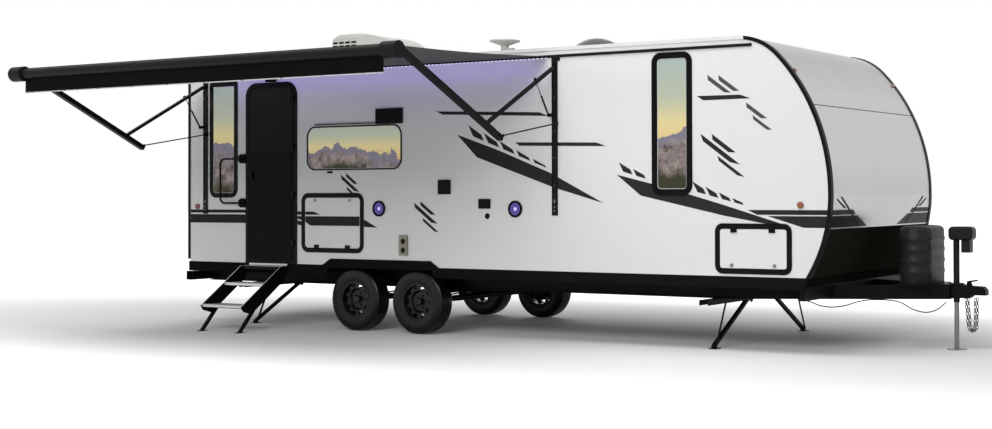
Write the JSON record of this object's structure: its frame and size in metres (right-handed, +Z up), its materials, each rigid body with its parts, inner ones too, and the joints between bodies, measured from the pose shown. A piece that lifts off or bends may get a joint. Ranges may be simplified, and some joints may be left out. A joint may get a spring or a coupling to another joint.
{
  "type": "travel caravan",
  "caption": "Towed travel caravan with hollow body, tandem wheels, opening doors, fold-up steps, stabilisers, tongue jack and a side awning on folding linked arms.",
  "frame": {"origin": "middle of the underside of the tongue jack's foot, on the ground", "axes": "+X forward to the coupler, +Y to the road side, -Y to the side with the entry door and awning, +Z up"},
  "size_m": [9.06, 4.8483, 3.25],
  "materials": {
    "wall_panel": "glossy",
    "cap_silver": "metallic gloss",
    "black_trim": "satin",
    "tinted_glass": "tinted, reflective",
    "black_steel": "satin paint",
    "jack_grey": "satin paint",
    "bare_steel": "zinc plated",
    "aluminium": "satin",
    "tyre": "matte",
    "awning_fabric": "coated weave",
    "floor_board": "sealed",
    "black_rubber": "matte",
    "lamp_plastic": "clear gloss",
    "roof_skin": "satin"
  },
  "bodies": {
    "root": {"left_wall": "wall_panel", "right_wall": "wall_panel", "window_frames": "black_trim", "window_glass": "tinted_glass", "front_cap": "cap_silver", "front_lower_panel": "black_steel", "rear_wall": "wall_panel", "roof": "roof_skin", "corner_mouldings": "black_trim", "floor": "floor_board", "skirts": "black_steel", "chassis": "black_steel", "coupler": "black_steel", "tongue_jack_body": "jack_grey", "gas_bottle_cover": "black_trim", "axles": "black_steel", "leaf_springs": "black_steel", "entry_door_frame": "black_trim", "luggage_door_frames": "black_trim", "awning_rail_and_channels": "black_steel", "tongue_cable": "black_rubber", "safety_chains": "bare_steel", "awning_fabric": "awning_fabric", "stabiliser_channels": "black_steel", "air_conditioner": "black_trim", "roof_vents_and_antenna": "roof_skin", "wall_fittings": "black_trim", "speakers_and_outlet": "black_trim", "lamps": "lamp_plastic"},
    "tongue_jack_leg": {"tongue_jack_leg": "bare_steel"},
    "right_rear_wheel": {"right_rear_tyre": "tyre", "right_rear_rim": "black_steel"},
    "right_front_wheel": {"right_front_tyre": "tyre", "right_front_rim": "black_steel"},
    "left_rear_wheel": {"left_rear_tyre": "tyre", "left_rear_rim": "black_steel"},
    "left_front_wheel": {"left_front_tyre": "tyre", "left_front_rim": "black_steel"},
    "entry_door": {"entry_door_leaf": "black_trim", "entry_door_glass": "tinted_glass"},
    "rear_luggage_door": {"rear_luggage_door": "wall_panel"},
    "front_luggage_door": {"front_luggage_door": "wall_panel"},
    "road_luggage_door": {"road_luggage_door": "wall_panel"},
    "grab_handle": {"grab_handle": "aluminium"},
    "awning_links": {"awning_links": "black_steel"},
    "awning_arms": {"awning_arms": "black_steel", "awning_roller": "black_steel"},
    "awning_valance": {"awning_valance": "awning_fabric"},
    "awning_lower_rods": {"awning_lower_rods": "black_steel"},
    "awning_struts": {"awning_struts": "black_steel"},
    "entry_steps": {"entry_step_frame": "black_steel", "entry_step_treads": "aluminium"},
    "front_right_stabiliser_leg": {"front_right_stabiliser_leg": "black_steel"},
    "front_right_stabiliser_brace": {"front_right_stabiliser_brace": "black_steel"},
    "front_left_stabiliser_leg": {"front_left_stabiliser_leg": "black_steel"},
    "front_left_stabiliser_brace": {"front_left_stabiliser_brace": "black_steel"},
    "rear_right_stabiliser_leg": {"rear_right_stabiliser_leg": "black_steel"},
    "rear_right_stabiliser_brace": {"rear_right_stabiliser_brace": "black_steel"},
    "rear_left_stabiliser_leg": {"rear_left_stabiliser_leg": "black_steel"},
    "rear_left_stabiliser_brace": {"rear_left_stabiliser_brace": "black_steel"}
  },
  "joints": [
    {"name": "right_rear_wheel_spin", "type": "hinge", "parent": "root", "child": "right_rear_wheel", "pos_m": [-6.223, -1.069, 0.3315], "axis": [0, 1, 0], "continuous": true},
    {"name": "right_front_wheel_spin", "type": "hinge", "parent": "root", "child": "right_front_wheel", "pos_m": [-5.383, -1.069, 0.3315], "axis": [0, 1, 0], "continuous": true},
    {"name": "left_rear_wheel_spin", "type": "hinge", "parent": "root", "child": "left_rear_wheel", "pos_m": [-6.223, 1.069, 0.3315], "axis": [0, 1, 0], "continuous": true},
    {"name": "left_front_wheel_spin", "type": "hinge", "parent": "root", "child": "left_front_wheel", "pos_m": [-5.383, 1.069, 0.3315], "axis": [0, 1, 0], "continuous": true},
    {"name": "entry_door_swing", "type": "hinge", "parent": "root", "child": "entry_door", "pos_m": [-7.027, -1.2363, 1.65], "axis": [0, 0, 1], "range_deg": [0, 165]},
    {"name": "rear_luggage_door_swing", "type": "hinge", "parent": "root", "child": "rear_luggage_door", "pos_m": [-6.478, -1.2363, 0.861], "axis": [-1, 0, 0], "range_deg": [-100, 0]},
    {"name": "front_luggage_door_swing", "type": "hinge", "parent": "root", "child": "front_luggage_door", "pos_m": [-1.462, -1.2363, 1.122], "axis": [1, 0, 0], "range_deg": [-110, 0]},
    {"name": "road_luggage_door_swing", "type": "hinge", "parent": "root", "child": "road_luggage_door", "pos_m": [-1.462, 1.2363, 1.122], "axis": [-1, 0, 0], "range_deg": [-110, 0]},
    {"name": "grab_handle_swing", "type": "hinge", "parent": "root", "child": "grab_handle", "pos_m": [-7.8, -1.268, 1.588], "axis": [0, 0, 1], "range_deg": [0, 90]},
    {"name": "tongue_jack_slide", "type": "slide", "parent": "root", "child": "tongue_jack_leg", "axis": [0, 0, 1], "range_m": [-0.03, 0.37]},
    {"name": "entry_steps_fold", "type": "hinge", "parent": "root", "child": "entry_steps", "pos_m": [-7.41, -1.238, 0.655], "axis": [-1, 0, 0], "range_deg": [0, 85]},
    {"name": "front_right_stabiliser_fold", "type": "hinge", "parent": "root", "child": "front_right_stabiliser_leg", "pos_m": [-2.005, -0.3, 0.405], "axis": [-1, 0, 0], "range_deg": [0, 28]},
    {"name": "front_right_brace_fold", "type": "hinge", "parent": "front_right_stabiliser_leg", "child": "front_right_stabiliser_brace", "pos_m": [-2.005, -0.95, 0.026], "axis": [-1, 0, 0], "range_deg": [0, 32.6]},
    {"name": "front_left_stabiliser_fold", "type": "hinge", "parent": "root", "child": "front_left_stabiliser_leg", "pos_m": [-2.005, 0.3, 0.405], "axis": [1, 0, 0], "range_deg": [0, 28]},
    {"name": "front_left_brace_fold", "type": "hinge", "parent": "front_left_stabiliser_leg", "child": "front_left_stabiliser_brace", "pos_m": [-2.005, 0.95, 0.026], "axis": [1, 0, 0], "range_deg": [0, 32.6]},
    {"name": "rear_right_stabiliser_fold", "type": "hinge", "parent": "root", "child": "rear_right_stabiliser_leg", "pos_m": [-7.88, -0.3, 0.405], "axis": [-1, 0, 0], "range_deg": [0, 28]},
    {"name": "rear_right_brace_fold", "type": "hinge", "parent": "rear_right_stabiliser_leg", "child": "rear_right_stabiliser_brace", "pos_m": [-7.88, -0.95, 0.026], "axis": [-1, 0, 0], "range_deg": [0, 32.6]},
    {"name": "rear_left_stabiliser_fold", "type": "hinge", "parent": "root", "child": "rear_left_stabiliser_leg", "pos_m": [-7.88, 0.3, 0.405], "axis": [1, 0, 0], "range_deg": [0, 28]},
    {"name": "rear_left_brace_fold", "type": "hinge", "parent": "rear_left_stabiliser_leg", "child": "rear_left_stabiliser_brace", "pos_m": [-7.88, 0.95, 0.026], "axis": [1, 0, 0], "range_deg": [0, 32.6]},
    {"name": "awning_fold", "type": "hinge", "parent": "root", "child": "awning_links", "pos_m": [-5.993, -1.262, 2.64], "axis": [1, 0, 0], "range_deg": [0, 60.8], "deforming": ["awning_fabric", "awning_valance"]},
    {"name": "awning_arm_fold", "type": "hinge", "parent": "awning_links", "child": "awning_arms", "pos_m": [-5.993, -2.3, 2.06], "axis": [1, 0, 0], "range_deg": [-123.5, 0]},
    {"name": "awning_valance_turn", "type": "hinge", "parent": "awning_arms", "child": "awning_valance", "pos_m": [-5.993, -3.53, 2.632], "axis": [1, 0, 0], "range_deg": [0, 62.6]},
    {"name": "awning_lower_rod_fold", "type": "hinge", "parent": "root", "child": "awning_lower_rods", "pos_m": [-5.993, -1.262, 2.11], "axis": [1, 0, 0], "range_deg": [0, 80.4]},
    {"name": "awning_strut_fold", "type": "hinge", "parent": "root", "child": "awning_struts", "pos_m": [-5.993, -1.262, 2.193], "axis": [1, 0, 0], "range_deg": [-33.2, 0]}
  ],
  "couplings": [
    {"joint": "front_right_brace_fold", "follows": "front_right_stabiliser_fold", "ratio": 1.164},
    {"joint": "front_left_stabiliser_fold", "follows": "front_right_stabiliser_fold", "ratio": 1},
    {"joint": "front_left_brace_fold", "follows": "front_right_stabiliser_fold", "ratio": 1.164},
    {"joint": "rear_right_brace_fold", "follows": "rear_right_stabiliser_fold", "ratio": 1.164},
    {"joint": "rear_left_stabiliser_fold", "follows": "rear_right_stabiliser_fold", "ratio": 1},
    {"joint": "rear_left_brace_fold", "follows": "rear_right_stabiliser_fold", "ratio": 1.164},
    {"joint": "awning_arm_fold", "follows": "awning_fold", "ratio": -2.0283},
    {"joint": "awning_valance_turn", "follows": "awning_fold", "ratio": 1.0283},
    {"joint": "awning_lower_rod_fold", "follows": "awning_fold", "ratio": 1.321},
    {"joint": "awning_strut_fold", "follows": "awning_fold", "ratio": -0.5451}
  ]
}
